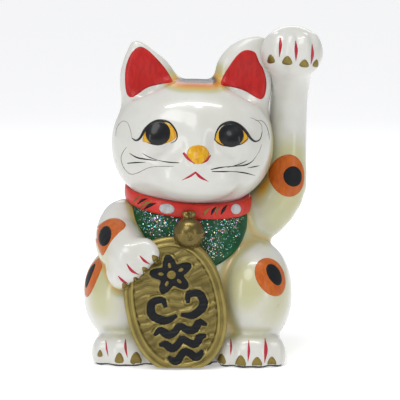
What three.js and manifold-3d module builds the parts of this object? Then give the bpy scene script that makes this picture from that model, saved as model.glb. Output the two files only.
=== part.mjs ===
// A beckoning cat in slip-cast, glazed earthenware, as the castings that are luted together before firing.
// Millimetres, +Z up. The cat looks along -Y, and its raised paw is on +X.
// The origin is on the ground under the neck.
import * as THREE from "three";
import { ConvexGeometry } from "three/addons/geometries/ConvexGeometry.js";
import { LoftGeometry } from "three/addons/geometries/LoftGeometry.js";
import { mergeVertices } from "three/addons/utils/BufferGeometryUtils.js";
import Module from "manifold-3d";

const wasm = await Module();
wasm.setup();

// Driving dimensions.
const WALL = 5; // thickness that the slip builds up in the mould
const JOINT = 0.3; // slip joint between two castings
const FELT = 1.2; // felt under the foot
const FOOT = FELT + JOINT; // height at which the clay begins
const BIB_THICKNESS = 1.8;
const NECK_INSET = 4; // depth of the groove that the collar sits in
const POUR_HOLE = 17; // radius of the hole that the slip is poured out through

const NECK = { x: -1, y: 0, z: 112.5, rx: 43, ry: 37 };
const COLLAR = { height: 11.6, thickness: 3.2, pitch: 0.08, roll: 0.075 };
const HEAD = { x: 2, y: -3, z: 154.5, rx: 59, ry: 50, rz: 47 };
const NOSE = { x: 5, z: 152.5, rx: 7.2, ry: 5, rz: 6.4 };
const PAW = { x: 74, y: -6, z: 221.5, rx: 21, ry: 20, rz: 20.5 };
const TABLET = { x: -10, y: -49.5, z: 45.4, rx: 35.5, rz: 48.6, thickness: 14, lean: 0.1, tilt: 0.2 };
const FULLNESS = 2.3; // how square the tablet's oval is: 2 is an ellipse
const RIM = 6.5; // width of the tablet's raised rim
const SUNK = 2; // depth of the field inside the rim
const APRON = { x: -6, y: -40, rx: 26, ry: 18 }; // felt that reaches forward under the tablet
const BIB = { x: -1, z: 101, rx: 43, rz: 29.5 };
const BELL = { x: -0.5, y: -50, z: 97, r: 11.8 };
const LOOP = { y: -43.2, z: 109.4, radius: 3.4, wire: 1.6 };

// Roundness of the faceted forms: the sides and rings of a full-size form, and of one that is hidden.
const FINE = { sides: 32, rings: 16 };
const MEDIUM = { sides: 16, rings: 9 };
const COARSE = { sides: 12, rings: 6 };

// ---- Solids -------------------------------------------------------------------------------------

// A closed geometry as a solid that can be joined and cut.
function solid(geometry) {
  const bare = new THREE.BufferGeometry().setAttribute("position", geometry.getAttribute("position"));
  bare.setIndex(geometry.index);
  const merged = mergeVertices(bare, 1e-4);
  return new wasm.Manifold(
    new wasm.Mesh({
      numProp: 3,
      vertProperties: merged.getAttribute("position").array,
      triVerts: new Uint32Array(merged.index.array),
    }),
  );
}

function join(...solids) {
  return solids.reduce((sum, next) => sum.add(next));
}

function cut(from, ...tools) {
  return tools.reduce((rest, tool) => rest.subtract(tool), from);
}

// The half of space on one side of a plane, as a block far larger than the cat.
function halfSpace(point, normal) {
  const size = 600;
  const block = new THREE.BoxGeometry(size, size, size);
  block.translate(0, 0, size / 2);
  block.applyQuaternion(new THREE.Quaternion().setFromUnitVectors(new THREE.Vector3(0, 0, 1), normal));
  block.translate(point.x, point.y, point.z);
  return solid(block);
}

// ---- Modelling tools ----------------------------------------------------------------------------

// An ellipsoid, swollen by grow on every side.
function ellipsoid({ x, y, z, rx, ry, rz }, grow = 0, mesh = MEDIUM) {
  const ball = new THREE.SphereGeometry(1, mesh.sides, mesh.rings);
  ball.rotateX(Math.PI / 2);
  ball.scale(rx + grow, ry + grow, rz + grow);
  ball.translate(x, y, z);
  return solid(ball);
}

// A smooth curve through the values of one key of the stations, at t from 0 to 1.
function along(stations, key, t) {
  const values = stations.map((s) => new THREE.Vector3(s[key], 0, 0));
  return new THREE.CatmullRomCurve3(values, false, "catmullrom", 0.5).getPoint(t).x;
}

// A form built up from level oval sections, each { z, x, y, rx, ry }.
function upright(stations, grow = 0, mesh = FINE) {
  const sections = [];
  for (let i = 0; i <= mesh.rings; i++) {
    const at = (key) => along(stations, key, i / mesh.rings);
    const points = [];
    for (let j = 0; j < mesh.sides; j++) {
      const angle = (j / mesh.sides) * 2 * Math.PI;
      const x = at("x") + (at("rx") + grow) * Math.cos(angle);
      const y = at("y") + (at("ry") + grow) * Math.sin(angle);
      points.push(new THREE.Vector3(x, y, at("z")));
    }
    sections.push(points);
  }
  return solid(new LoftGeometry(sections, { capStart: true, capEnd: true }));
}

// A limb: balls along a curve through the stations, each { x, y, z, r }, and a skin over each pair.
function limb(stations, grow = 0, mesh = MEDIUM) {
  const path = new THREE.CatmullRomCurve3(stations.map((s) => new THREE.Vector3(s.x, s.y, s.z)));
  const balls = [];
  for (let i = 0; i <= mesh.rings; i++) {
    const radius = along(stations, "r", i / mesh.rings) + grow;
    const ball = new THREE.SphereGeometry(radius, mesh.sides, mesh.sides / 2);
    const centre = path.getPoint(i / mesh.rings);
    const corners = ball.getAttribute("position");
    const points = [];
    for (let j = 0; j < corners.count; j++) {
      points.push(new THREE.Vector3().fromBufferAttribute(corners, j).add(centre));
    }
    balls.push(points);
  }
  const spans = balls.slice(1).map((points, i) => solid(new ConvexGeometry([...balls[i], ...points])));
  return join(...spans);
}

// ---- Forms, each with the growth that a neighbour is cut back by --------------------------------

const TORSO = [
  { z: 0, x: -2, y: 5, rx: 60, ry: 48 },
  { z: 17, x: -2, y: 6, rx: 63, ry: 54 },
  { z: 39, x: -2, y: 6, rx: 61, ry: 55 },
  { z: 62, x: -1, y: 5, rx: 56, ry: 49 },
  { z: 84, x: -1, y: 3, rx: 50, ry: 43 },
  { z: 100, x: -1, y: 1, rx: 45, ry: 39 },
  { z: 120, x: NECK.x, y: NECK.y, rx: NECK.rx - NECK_INSET, ry: NECK.ry - NECK_INSET },
];

const THIGHS = [
  { x: -48.5, y: -9, z: 46, rx: 28.5, ry: 41, rz: 34 },
  { x: 46, y: -12, z: 47, rx: 28.5, ry: 42, rz: 38 },
];

// A hind foot: a low mound with four toes at its front.
const FEET = [
  { x: -47, y: -25, toes: -42 },
  { x: 44, y: -30, toes: -48 },
];
const FOOT_SIZE = { rx: 24, ry: 28, rz: 17.5, z: 9, toe: 7.4, spread: 12.2 };

function toeOffsets(spread) {
  return [-1.5, -0.5, 0.5, 1.5].map((step) => step * spread);
}

function foot({ x, y, toes }, grow, mesh) {
  const { rx, ry, rz, z, toe, spread } = FOOT_SIZE;
  const mound = ellipsoid({ x, y, z, rx, ry, rz }, grow, mesh);
  const front = toeOffsets(spread).map((offset) => {
    const setBack = Math.abs(offset) * 0.22;
    return ellipsoid({ x: x + offset, y: toes + setBack, z: 8, rx: toe, ry: 11, rz: 11 }, grow, mesh);
  });
  return join(mound, ...front);
}

const TAIL = [
  { x: 2, y: 52, z: 15, r: 10 },
  { x: 16, y: 59, z: 16, r: 9.5 },
  { x: 29, y: 57, z: 25, r: 8.5 },
  { x: 31, y: 49, z: 37, r: 7 },
];

function body(grow = 0) {
  return join(
    upright(TORSO, grow),
    ...THIGHS.map((thigh) => ellipsoid(thigh, grow)),
    ...FEET.map((each) => foot(each, grow, COARSE)),
    limb(TAIL, grow, COARSE),
  );
}

// The skull is a ball with full cheeks: its sections follow a superellipse from chin to crown.
function skull(grow = 0, mesh = FINE) {
  const fullness = 2.25;
  const level = (t) => Math.sin((t * Math.PI) / 2);
  const stations = [-1, -0.8, -0.6, -0.4, -0.2, 0, 0.2, 0.4, 0.6, 0.8, 1].map((t) => {
    const height = level(t) * 0.995;
    const width = (1 - Math.abs(height) ** fullness) ** (1 / fullness);
    const jaw = height < 0 ? 1 + 0.04 * height : 1;
    return {
      z: HEAD.z + (HEAD.rz + grow) * height,
      x: HEAD.x,
      y: HEAD.y,
      rx: (HEAD.rx + grow) * width * jaw - grow,
      ry: (HEAD.ry + grow) * width - grow,
    };
  });
  return upright(stations, grow, mesh);
}

// The ears, each a stack of level ovals from its root up to its tip.
const EARS = [
  [
    { x: -24, z: 172, rx: 22, ry: 14 },
    { x: -27.5, z: 190, rx: 23.5, ry: 12 },
    { x: -30.5, z: 203, rx: 20.5, ry: 10 },
    { x: -32.5, z: 214, rx: 15.5, ry: 8 },
    { x: -35.5, z: 223, rx: 9.5, ry: 6 },
    { x: -38, z: 230, rx: 3, ry: 3 },
  ],
  [
    { x: 33, z: 172, rx: 22, ry: 14 },
    { x: 36.5, z: 190, rx: 22, ry: 12 },
    { x: 38.5, z: 203, rx: 21, ry: 10 },
    { x: 41, z: 214, rx: 17, ry: 8 },
    { x: 45.5, z: 224, rx: 11, ry: 6 },
    { x: 50.5, z: 232, rx: 3, ry: 3 },
  ],
];

function ear(stations, grow) {
  return upright(stations.map((s) => ({ ...s, y: HEAD.y + 5, z: s.z + grow })), grow, MEDIUM);
}

// A straight neck from z0 to z1, set in from the collar by inset.
function neck(z0, z1, inset, grow, sides) {
  const oval = { x: NECK.x, y: NECK.y, rx: NECK.rx - inset, ry: NECK.ry - inset };
  return upright([{ ...oval, z: z0 }, { ...oval, z: z1 }], grow, { sides, rings: 1 });
}

function head(grow = 0) {
  const nose = ellipsoid({ ...NOSE, y: HEAD.y - HEAD.ry + 1 }, grow, COARSE);
  const ears = EARS.map((each) => ear(each, grow));
  return join(skull(grow), ...ears, nose, neck(90, 132, NECK_INSET, grow, FINE.sides));
}

const RAISED_ARM = [
  { x: 38, y: 6, z: 92, r: 18 },
  { x: 56, y: 7, z: 104, r: 18.5 },
  { x: 68, y: 9, z: 120, r: 16.5 },
  { x: 70.5, y: 12, z: 140, r: 14.8 },
  { x: 71.5, y: 14, z: 165, r: 14 },
  { x: 72.5, y: 11, z: 188, r: 13.8 },
  { x: 73.5, y: 4, z: 204, r: 14.5 },
];

const LOWERED_ARM = [
  { x: -39, y: 4, z: 92, r: 16 },
  { x: -49.5, y: -4, z: 97, r: 17.5 },
  { x: -50.5, y: -17, z: 88, r: 18 },
  { x: -48.3, y: -34, z: 82, r: 17.5 },
  { x: -43.3, y: -48.5, z: 79, r: 14.5 },
];

// The toes of a paw that ends at a point: four across, each reaching on along the given direction.
function toes(end, across, forward, { spread, reach, rx, ry, rz }, grow) {
  const middle = new THREE.Vector3(end.x, end.y, end.z).addScaledVector(forward, reach);
  return join(
    ...toeOffsets(spread).map((offset) => {
      const { x, y, z } = middle.clone().addScaledVector(across, offset);
      return ellipsoid({ x, y, z, rx, ry, rz }, grow, COARSE);
    }),
  );
}

function raisedArm(grow = 0) {
  const across = new THREE.Vector3(1, 0, -0.12).normalize();
  const forward = new THREE.Vector3(0, -0.95, -0.3).normalize();
  const fingers = toes(PAW, across, forward, { spread: 10.4, reach: 12.5, rx: 6.4, ry: 8, rz: 9 }, grow);
  return join(limb(RAISED_ARM, grow), ellipsoid(PAW, grow), fingers);
}

function loweredArm(grow = 0) {
  const paw = LOWERED_ARM[LOWERED_ARM.length - 1];
  const across = new THREE.Vector3(0.75, 0, 0.66).normalize();
  const forward = new THREE.Vector3(0.52, -0.5, -0.69).normalize();
  const fingers = toes(paw, across, forward, { spread: 9.5, reach: 11.5, rx: 6.2, ry: 6.2, rz: 6.2 }, grow);
  return join(limb(LOWERED_ARM, grow), fingers);
}

// A geometry drawn face up about the tablet's centre, moved to where the tablet leans.
function placeOnTablet(geometry) {
  geometry.rotateX(Math.PI / 2);
  geometry.rotateY(-TABLET.tilt);
  geometry.rotateX(-TABLET.lean);
  geometry.translate(TABLET.x, TABLET.y, TABLET.z);
  return geometry;
}

// The tablet's outline, a little squarer than an ellipse, swollen by grow.
function tabletOutline(grow) {
  const swell = (value) => Math.sign(value) * Math.abs(value) ** (2 / FULLNESS);
  const sides = 80;
  const points = [];
  for (let i = 0; i < sides; i++) {
    const angle = (i / sides) * 2 * Math.PI;
    const x = (TABLET.rx + grow) * swell(Math.cos(angle));
    points.push(new THREE.Vector2(x, (TABLET.rz + grow) * swell(Math.sin(angle))));
  }
  return new THREE.Shape(points);
}

// The oval tablet that the lowered paw holds, standing on the felt and leaning back on the belly.
function tablet(grow = 0) {
  const plate = new THREE.ExtrudeGeometry(tabletOutline(grow), {
    depth: TABLET.thickness + 2 * grow - 3,
    bevelThickness: 1.5,
    bevelSize: 1.5,
    bevelOffset: -1.5,
    bevelSegments: 2,
  });
  plate.translate(0, 0, -grow - TABLET.thickness / 2 + 1.5);
  return solid(placeOnTablet(plate));
}

// The band round the neck, in its own tilted plane: low at the throat, high at the nape.
function collarFrame() {
  return new THREE.Euler(COLLAR.pitch, COLLAR.roll, 0);
}

// Whatever lies round the neck's axis, turned into the collar's plane.
function roundNeck(geometry) {
  geometry.rotateX(Math.PI / 2);
  geometry.scale(1, NECK.ry / NECK.rx, 1);
  geometry.applyQuaternion(new THREE.Quaternion().setFromEuler(collarFrame()));
  geometry.translate(NECK.x, NECK.y, NECK.z);
  return solid(geometry);
}

function band() {
  const outer = NECK.rx + COLLAR.thickness;
  const inner = NECK.rx - NECK_INSET + JOINT;
  const half = COLLAR.height / 2;
  const section = [
    [inner, -half],
    [outer - 1, -half],
    [outer, 1 - half],
    [outer, half - 1],
    [outer - 1, half],
    [inner, half],
    [inner, -half],
  ];
  return roundNeck(new THREE.LatheGeometry(section.map(([r, z]) => new THREE.Vector2(r, z)), 2 * FINE.sides));
}

// The room that the collar takes, right through the neck, for the arms to be cut back to.
function collarRoom() {
  const radius = NECK.rx + COLLAR.thickness + JOINT;
  return roundNeck(new THREE.CylinderGeometry(radius, radius, COLLAR.height + 2 * JOINT, 2 * FINE.sides));
}

// The bib follows the chest: a skin over the body, trimmed to an oval whose upper half the collar hides.
function bib() {
  const outline = new THREE.Shape();
  outline.absellipse(0, 0, BIB.rx, BIB.rz, 0, 2 * Math.PI);
  const prism = new THREE.ExtrudeGeometry(outline, { depth: 120, bevelEnabled: false, curveSegments: 32 });
  prism.rotateX(Math.PI / 2);
  prism.translate(BIB.x, 0, BIB.z);
  return solid(prism).intersect(upright(TORSO, JOINT + BIB_THICKNESS));
}

function bellBall(grow = 0) {
  return ellipsoid({ ...BELL, rx: BELL.r, ry: BELL.r, rz: BELL.r }, grow);
}

// The loop that the bell hangs by, standing upright in front of the collar.
function bellLoop() {
  const loop = new THREE.TorusGeometry(LOOP.radius, LOOP.wire, 8, 20);
  loop.rotateX(Math.PI / 2);
  loop.translate(BELL.x, LOOP.y, LOOP.z);
  return solid(loop);
}

// A low relief on the face of the tablet: a shape in the tablet's own plane, standing up from the sunk field.
function relief(shape) {
  const depth = 5;
  const raised = new THREE.ExtrudeGeometry(shape, { depth, bevelEnabled: false, curveSegments: 8 });
  raised.translate(0, 0, TABLET.thickness / 2 - depth - 0.4);
  return solid(placeOnTablet(raised));
}

function blossom(x, z, size) {
  const petals = new THREE.Shape();
  const steps = 40;
  for (let i = 0; i < steps; i++) {
    const angle = (i / steps) * 2 * Math.PI;
    const radius = size * (0.78 + 0.22 * Math.cos(5 * angle));
    const point = [x + radius * Math.sin(angle), z + radius * Math.cos(angle)];
    i === 0 ? petals.moveTo(...point) : petals.lineTo(...point);
  }
  return relief(petals);
}

// A bar that rises and falls in waves across the tablet.
function waves(x, z, width, crests) {
  const bar = new THREE.Shape();
  const steps = 24;
  const crest = (t) => 2.6 * Math.sin(t * crests * 2 * Math.PI);
  for (let i = 0; i <= steps; i++) {
    const t = i / steps;
    const point = [x + (t - 0.5) * width, z + crest(t) - 1.7];
    i === 0 ? bar.moveTo(...point) : bar.lineTo(...point);
  }
  for (let i = steps; i >= 0; i--) {
    const t = i / steps;
    bar.lineTo(x + (t - 0.5) * width, z + crest(t) + 1.7);
  }
  return relief(bar);
}

function finishedTablet() {
  const sunk = new THREE.ExtrudeGeometry(tabletOutline(-RIM), { depth: 10, bevelEnabled: false });
  sunk.translate(0, 0, TABLET.thickness / 2 - SUNK);
  const plate = cut(tablet(), solid(placeOnTablet(sunk)));
  return join(plate, blossom(0, 22, 11), blossom(0, -1, 10), waves(0, -19, 36, 2), waves(0, -28, 26, 1.5));
}

// The felt under the foot and under the tablet.
function felt() {
  const sheet = new THREE.BoxGeometry(300, 300, FELT);
  sheet.translate(0, 0, FELT / 2);
  const apron = new THREE.CylinderGeometry(1, 1, 4 * FELT, 48);
  apron.rotateX(Math.PI / 2);
  apron.scale(APRON.rx, APRON.ry, 1);
  apron.translate(APRON.x, APRON.y, 0);
  const footprint = join(...[upright(TORSO), ...FEET.map((each) => foot(each, 0, COARSE)), solid(apron)]);
  return solid(sheet).intersect(footprint);
}

// ---- The castings, each cut back by the ones that it is luted to --------------------------------

const aboveFelt = halfSpace(new THREE.Vector3(0, 0, FOOT), new THREE.Vector3(0, 0, 1));
const seamNormal = new THREE.Vector3(0, 0, 1).applyEuler(collarFrame());
const seam = new THREE.Vector3(NECK.x, NECK.y, NECK.z);
const aboveSeam = halfSpace(seam.clone().addScaledVector(seamNormal, JOINT), seamNormal);
const belowSeam = halfSpace(seam, seamNormal.clone().negate());

const parts = new THREE.Group();

const GLAZE = { color: 0xe6e2d6, roughness: 0.25 };
const GOLD = { color: 0x8f7b33, roughness: 0.45, metalness: 0.6 };
const RED = { color: 0xd8281f, roughness: 0.3 };
const GREEN = { color: 0x14803f, roughness: 0.5 };
const FELT_GREY = { color: 0x1d2226, roughness: 1 };

function add(name, piece, look) {
  const made = piece.getMesh();
  const geometry = new THREE.BufferGeometry();
  geometry.setAttribute("position", new THREE.BufferAttribute(made.vertProperties, 3));
  geometry.setIndex(new THREE.BufferAttribute(made.triVerts, 1));
  geometry.computeVertexNormals();
  const mesh = new THREE.Mesh(geometry, new THREE.MeshStandardMaterial(look));
  mesh.name = name;
  parts.add(mesh);
}

const bodyOuter = body();
const cavity = join(
  upright(TORSO.map((s) => ({ ...s, z: Math.max(s.z, FOOT + WALL) })), -WALL, COARSE),
  ...THIGHS.map((thigh) => ellipsoid(thigh, -WALL, COARSE)),
);
const pourHole = solid(new THREE.CylinderGeometry(POUR_HOLE, POUR_HOLE, 30, 32).rotateX(Math.PI / 2));
add("body_casting", cut(bodyOuter.intersect(aboveFelt).intersect(belowSeam), cavity, pourHole), GLAZE);

const headHollow = join(skull(-WALL, COARSE), neck(84, 128, NECK_INSET + WALL, 0, COARSE.sides));
add("head_casting", cut(head().intersect(aboveSeam), headHollow), GLAZE);

const bodyGrown = body(JOINT);
const headGrown = head(JOINT);
const raisedGrown = raisedArm(JOINT);
const loweredGrown = loweredArm(JOINT);
const tabletGrown = tablet(JOINT);
const neckRoom = collarRoom();
const armHollow = limb(RAISED_ARM, -WALL, COARSE);
add("raised_arm", cut(raisedArm(), bodyGrown, headGrown, neckRoom, armHollow), GLAZE);
add("lowered_arm", cut(loweredArm(), bodyGrown, headGrown, neckRoom, tabletGrown), GLAZE);

add("collar_band", cut(band(), bodyGrown, headGrown), RED);

const bibSkin = cut(bib().intersect(belowSeam), bodyGrown, neckRoom, raisedGrown, loweredGrown, tabletGrown);
add("bib", bibSkin, GREEN);
const bibGrown = upright(TORSO, 2 * JOINT + BIB_THICKNESS);
add("bell_ball", cut(bellBall(), bibGrown, neckRoom, tabletGrown), GOLD);
add("bell_loop", cut(bellLoop(), neckRoom, bellBall(JOINT)), GOLD);

add("coin_tablet", cut(finishedTablet().intersect(aboveFelt), bodyGrown), GOLD);
add("base_pad", felt(), FELT_GREY);

export default parts;
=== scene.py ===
"""A beckoning cat in glazed earthenware: its castings, enamels, glitter and gilding, modelled in Blender."""
import math

import bpy
import numpy as np
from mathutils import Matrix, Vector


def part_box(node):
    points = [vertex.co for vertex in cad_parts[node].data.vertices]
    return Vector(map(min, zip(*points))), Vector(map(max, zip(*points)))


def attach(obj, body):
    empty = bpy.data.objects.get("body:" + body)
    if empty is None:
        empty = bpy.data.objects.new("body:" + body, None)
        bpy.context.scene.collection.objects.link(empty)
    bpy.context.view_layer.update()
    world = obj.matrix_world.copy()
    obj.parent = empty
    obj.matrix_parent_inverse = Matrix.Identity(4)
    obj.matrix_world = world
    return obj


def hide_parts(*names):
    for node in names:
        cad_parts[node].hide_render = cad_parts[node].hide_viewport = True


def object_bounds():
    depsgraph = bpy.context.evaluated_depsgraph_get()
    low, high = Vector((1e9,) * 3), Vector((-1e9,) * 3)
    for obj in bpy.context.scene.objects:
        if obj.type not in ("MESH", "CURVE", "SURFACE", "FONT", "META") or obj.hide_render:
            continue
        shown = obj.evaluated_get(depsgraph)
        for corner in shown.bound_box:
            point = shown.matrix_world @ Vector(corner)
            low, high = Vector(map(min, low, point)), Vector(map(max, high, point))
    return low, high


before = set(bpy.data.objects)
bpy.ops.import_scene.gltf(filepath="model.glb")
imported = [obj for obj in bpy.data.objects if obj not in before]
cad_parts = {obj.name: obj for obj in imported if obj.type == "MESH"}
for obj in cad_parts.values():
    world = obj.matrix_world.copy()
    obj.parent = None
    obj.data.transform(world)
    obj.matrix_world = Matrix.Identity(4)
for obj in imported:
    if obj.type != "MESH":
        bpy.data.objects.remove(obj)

import openvdb
from mathutils import Vector, geometry
from mathutils.bvhtree import BVHTree

bl_info = {
    "name": "Beckoning Cat Figurine",
    "version": (1, 0, 0),
    "blender": (4, 5, 0),
    "location": "3D View > Sidebar > Figurine",
    "description": "Casts, glazes and paints a ceramic beckoning cat around its CAD frame",
    "category": "Add Mesh",
}

CAD_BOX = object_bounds()
MM = 0.001  # metres in a millimetre, which the forms below are measured in
UP = np.array([0.0, 0.0, 1.0])
PAINT_DEPTH = 0.35  # how far a coat of enamel reaches under the glaze
TORN = 6  # how many gaps a triangle of paint may stretch over before it is left out
SENSOR = 36.0  # width of the camera's sensor
FRAME_WIDTH = 292.0  # what the camera takes in at the figurine


# ---- Where things are -----------------------------------------------------------------------------------------


def middle(node):
    """The middle of a CAD node's box, in millimetres."""
    low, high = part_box(node)
    return np.array([(a + b) / 2 / MM for a, b in zip(low, high)])


def room(node, spare):
    """The lowest and highest corners of a CAD node's box, grown by spare millimetres."""
    low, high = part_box(node)
    return np.array(low) / MM - spare, np.array(high) / MM + spare


BODY = middle("body_casting") - (0, 0, 1.6)
HEAD = middle("head_casting") - (0, 0, 5.2)  # between the eyes
RAISED = middle("raised_arm") - (0.2, 0, 0)
LOWERED = middle("lowered_arm") + (2.5, -0.7, -2.1)
COLLAR = middle("collar_band")
BIB = middle("bib") + (-1.4, 0, 10.5)  # the middle of its oval, which the collar hides
BELL = middle("bell_ball")
LOOP = middle("bell_loop")
TABLET = middle("coin_tablet") - (0, 0, 2.5)  # the middle of its oval, whose foot is cut off flat
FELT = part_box("base_pad")[1][2] / MM  # thickness of the felt
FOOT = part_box("body_casting")[0][2] / MM  # where the clay begins
FIGURE = (np.array(CAD_BOX[0]) + np.array(CAD_BOX[1])) / 2 / MM

# Where the painter and the camera look from, and the middle of what they see.
ELEVATION = math.radians(8.5)
DISTANCE = 1500.0
AIM = FIGURE + (-2.3, -0.6, -8.6)
RIGHT = np.array([1.0, 0.0, 0.0])
FORWARD = np.array([0.0, math.cos(ELEVATION), -math.sin(ELEVATION)])
UPWARD = np.array([0.0, math.sin(ELEVATION), math.cos(ELEVATION)])
EYE = AIM - DISTANCE * FORWARD


# ---- Curves and forms -----------------------------------------------------------------------------------------


def smooth(values, count):
    """Values along a Catmull-Rom curve through the given ones."""
    knots = np.asarray(values, float)
    ends = np.concatenate([[2 * knots[0] - knots[1]], knots, [2 * knots[-1] - knots[-2]]])
    out = []
    for place in np.linspace(0, len(knots) - 1, count):
        i = min(int(place), len(knots) - 2)
        t = place - i
        a, b, c, d = ends[i : i + 4]
        out.append(b + 0.5 * t * (c - a + t * (2 * a - 5 * b + 4 * c - d + t * (3 * b - 3 * c + d - a))))
    return np.array(out)


def ring(values, count):
    """Values round a closed Catmull-Rom curve through the given ones."""
    knots = np.asarray(values, float)
    wrapped = np.concatenate([knots[-1:], knots, knots[:2]])
    out = []
    for place in np.linspace(0, len(knots), count, endpoint=False):
        i = int(place)
        t = place - i
        a, b, c, d = wrapped[i : i + 4]
        out.append(b + 0.5 * t * (c - a + t * (2 * a - 5 * b + 4 * c - d + t * (3 * b - 3 * c + d - a))))
    return np.array(out)


def ramp(value, low, high):
    """0 below low, 1 above high, and a smooth slope between."""
    t = np.clip((value - low) / (high - low), 0, 1)
    return t * t * (3 - 2 * t)


def ball(at, centre, radii, fullness=2.0):
    """Distance to an ellipsoid; a fullness above 2 squares its shoulders."""
    scaled = np.abs(at - np.asarray(centre)) / radii
    reach = (scaled**fullness).sum(-1) ** (1 / fullness)
    slope = np.sqrt(((scaled / radii) ** 2).sum(-1))
    return reach * (reach - 1) / np.maximum(slope, 1e-6)


def limb(at, joints, spans=14):
    """Distance to a limb along a smooth curve through rows of x, y, z and radius."""
    rows = smooth(joints, spans + 1)
    best = np.full(at.shape[:-1], 1e9, at.dtype)
    for a, b in zip(rows, rows[1:]):
        along = b[:3] - a[:3]
        t = np.clip(((at - a[:3]) @ along) / (along @ along), 0, 1)
        gap = at - a[:3] - t[..., None] * along
        best = np.minimum(best, np.sqrt((gap**2).sum(-1)) - a[3] - (b[3] - a[3]) * t)
    return best


def stack(at, ovals):
    """Distance to a form of level ovals, in rows of z, x, y and the two radii."""
    rows = smooth(ovals, 50)
    z = at[..., 2]
    x, y, rx, ry = (np.interp(z, rows[:, 0], rows[:, k]) for k in range(1, 5))
    across = (at[..., 0] - x) / rx
    deep = (at[..., 1] - y) / ry
    reach = np.sqrt(across**2 + deep**2)
    slope = np.sqrt((across / rx) ** 2 + (deep / ry) ** 2)
    side = reach * (reach - 1) / np.maximum(slope, 1e-6)
    return trim(side, np.maximum(rows[0, 0] - z, z - rows[-1, 0]), 2.0)


def blend(a, b, k):
    """The union of two forms, filleted over k millimetres."""
    h = np.clip(0.5 + 0.5 * (b - a) / k, 0, 1)
    return b + (a - b) * h - k * h * (1 - h)


def trim(a, b, k):
    """What two forms share, with its edge rounded over k millimetres."""
    return -blend(-a, -b, k)


def carve(a, b, k):
    """A form with another taken out of it."""
    return -blend(-a, b, k)


def over_collar(at):
    """Height over the collar's plane, which tips down to the front and to the raised paw."""
    return (at - COLLAR - (0, 0, 2)) @ (0.09, -0.13, 0.987)


# ---- The cat's forms ------------------------------------------------------------------------------------------

TORSO = [
    (-57.5, -1, 0, 60, 48),
    (-40.5, -1, 1, 63, 54),
    (-18.5, -1, 1, 61, 55),
    (4.5, 0, 0, 56, 49),
    (26.5, 0, -2, 50, 43),
    (42.5, 0, -4, 45, 39),
    (62.5, 0, -5, 39, 33),
]
TAIL = [(3, 45, -43, 10), (17, 52, -42, 9.5), (30, 50, -33, 8.5), (32, 42, -21, 7)]
HAUNCHES = [((-47.5, -14, -11.5), (28.5, 41, 34)), ((47, -17, -10.5), (28.5, 42, 38))]
FEET = [(-44, -30, -47), (45, -35, -53)]  # x and y of each foot, and y of its toes
TOE_STEPS = (-1.5, -0.5, 0.5, 1.5)  # from the middle of a paw, in toes
RAISED_FILLET, LOWERED_FILLET = 8, 3  # where each arm meets the body


def foot(at, x, y, toes):
    form = ball(at, (x, y, -48.5), (24, 28, 17.5))
    for step in TOE_STEPS:
        toe = ball(at, (x + 12 * step, toes + 3 * abs(step), -50), (7, 10.5, 11.5))
        form = blend(form, toe, 4)
    return form


def torso_form(at):
    return stack(at - BODY, TORSO)


def haunch_form(at):
    return np.minimum(*(ball(at - BODY, centre, radii, 2.15) for centre, radii in HAUNCHES))


def body_form(at):
    local = at - BODY
    form = blend(torso_form(at), haunch_form(at), 5)
    for x, y, toes in FEET:
        form = blend(form, foot(local, x, y, toes), 3.5)
    return blend(form, limb(local, TAIL), 5)


SKULL = ((0, 2, -10.7), (58.5, 49.5, 46.8))
EARS = [
    [(7, -26, 7, 22, 14), (25, -29, 7, 23, 12), (38, -32, 7, 20.5, 9.5), (49, -34.5, 7, 15.5, 7.5),
     (56.5, -37.5, 7, 9.5, 5.5), (61.5, -39.5, 7, 5, 3.6), (63.8, -40.5, 7, 1.6, 1.6)],
    [(7, 31, 7, 22, 14), (25, 34.5, 7, 22, 12), (38, 36.5, 7, 21, 9.5), (49, 37.5, 7, 19, 8),
     (58.5, 40.5, 7, 14.5, 6.5), (64.5, 44, 7, 9, 5), (66.6, 46, 7, 4, 3)],
]
EAR_HOLLOWS = [(-33, -8, 40), (39, -8, 38)]
EYES = [(-25, -2.5), (28.2, -4)]
NOSE = (3.9, -48.5, -18)
NECK = [(-75, -3, 5, 40, 34), (-35, -3, 5, 40, 34)]


def head_form(at):
    local = at - HEAD
    form = ball(local, *SKULL, 2.2)
    for ovals in EARS:
        form = blend(form, stack(local, ovals), 7)
    for centre in EAR_HOLLOWS:
        form = carve(form, ball(local, centre, (15.5, 9, 19)), 4)
    form = blend(form, ball(local, (3, -40, -31), (25, 13, 13)), 16)
    for x, z in EYES:
        form = carve(form, ball(local, (1.02 * x, -50.5, z - 1), (17.5, 9, 14.5)), 7)
        form = blend(form, ball(local, (x, -31.5, z), (13, 13.2, 12)), 3)
    bridge = limb(local, [(4, -33, 9, 7), (4, -39.5, 0, 7), (3.9, -45.5, -14, 5)], 6)
    form = blend(form, bridge, 6)
    form = blend(form, ball(local, NOSE, (7.6, 5.6, 6.6)), 2)
    return blend(form, stack(local, NECK), 2)


RAISED_JOINTS = [
    (-28, 5, -68.5, 18), (-10, 6, -56, 18.5), (2, 8, -40, 16.6), (4.3, 11, -20.5, 14.8),
    (5.2, 13, 4.5, 14), (6, 10, 27.5, 13.8), (7, 3, 43.5, 14.5),
]
LOWERED_JOINTS = [
    (3.5, 26.5, 9, 16), (-5, 18.5, 14, 17.2), (-8.2, 5.5, 5, 18), (-5.5, -11.5, -1, 17.5), (-1, -25.5, -4, 14.5),
]
RAISED_TOES = (-46, -9, 29, 66)  # degrees round the paw


def unit(x, y, z):
    return np.array([x, y, z]) / math.sqrt(x * x + y * y + z * z)


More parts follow.
